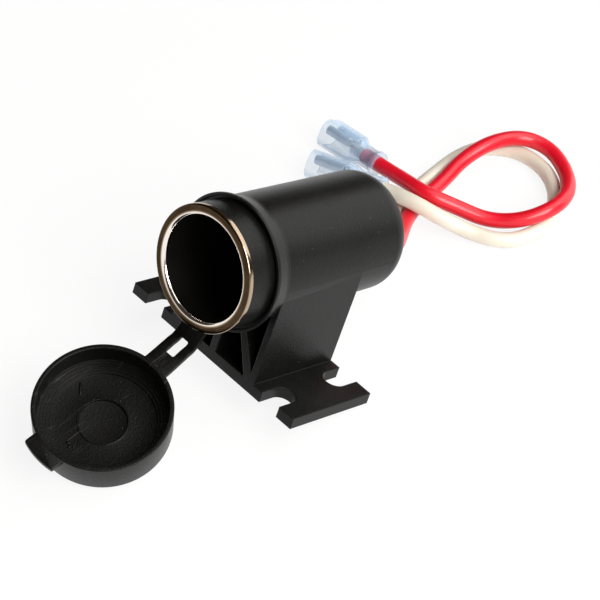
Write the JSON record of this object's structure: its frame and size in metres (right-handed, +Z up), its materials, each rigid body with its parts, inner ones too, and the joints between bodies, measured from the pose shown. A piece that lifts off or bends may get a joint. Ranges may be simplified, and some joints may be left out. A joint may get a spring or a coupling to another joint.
{
  "type": "12 volt accessory socket",
  "caption": "Surface-mount vehicle accessory socket: a round barrel on a footed stand, a bright metal shell, a tethered push-on cap and a pair of leads with insulated push-on connectors.",
  "frame": {"origin": "middle of the foot's underside", "axes": "+Z up from the foot, -Y out of the socket's mouth, +X to the right seen from the rear"},
  "size_m": [0.0661, 0.1428, 0.056],
  "materials": {
    "black_plastic": "satin moulded",
    "cap_plastic": "satin, flexible",
    "bright_metal": "bright plated",
    "fibre": "pressed fibre board",
    "brass": "plain",
    "steel": "tinned",
    "red_cover": "smooth flexible cover",
    "white_cover": "smooth flexible cover",
    "copper": "stranded copper",
    "blue_sleeve": "see-through flexible cover"
  },
  "bodies": {
    "socket": {"housing": "black_plastic", "socket_shell": "bright_metal", "cap_ring": "cap_plastic", "cap_strap": "cap_plastic", "contact_insulator": "fibre", "centre_contact": "brass", "rear_washer": "fibre", "contact_rivet": "brass", "centre_tag": "brass", "shell_tag": "brass", "shell_rivet": "steel", "red_core": "copper", "white_core": "copper", "red_wire": "red_cover", "white_wire": "white_cover", "red_sleeve": "blue_sleeve", "white_sleeve": "blue_sleeve", "red_terminal": "steel", "white_terminal": "steel", "red_plug_core": "copper", "white_plug_core": "copper"},
    "cap": {"cap": "cap_plastic"}
  },
  "joints": [
    {"name": "cap_hinge", "type": "hinge", "parent": "socket", "child": "cap", "pos_m": [0, -0.02064, 0.00443], "axis": [0.9938, 0.0959, -0.0571], "range_deg": [-118.7, 55], "deforming": ["cap_strap"]}
  ]
}
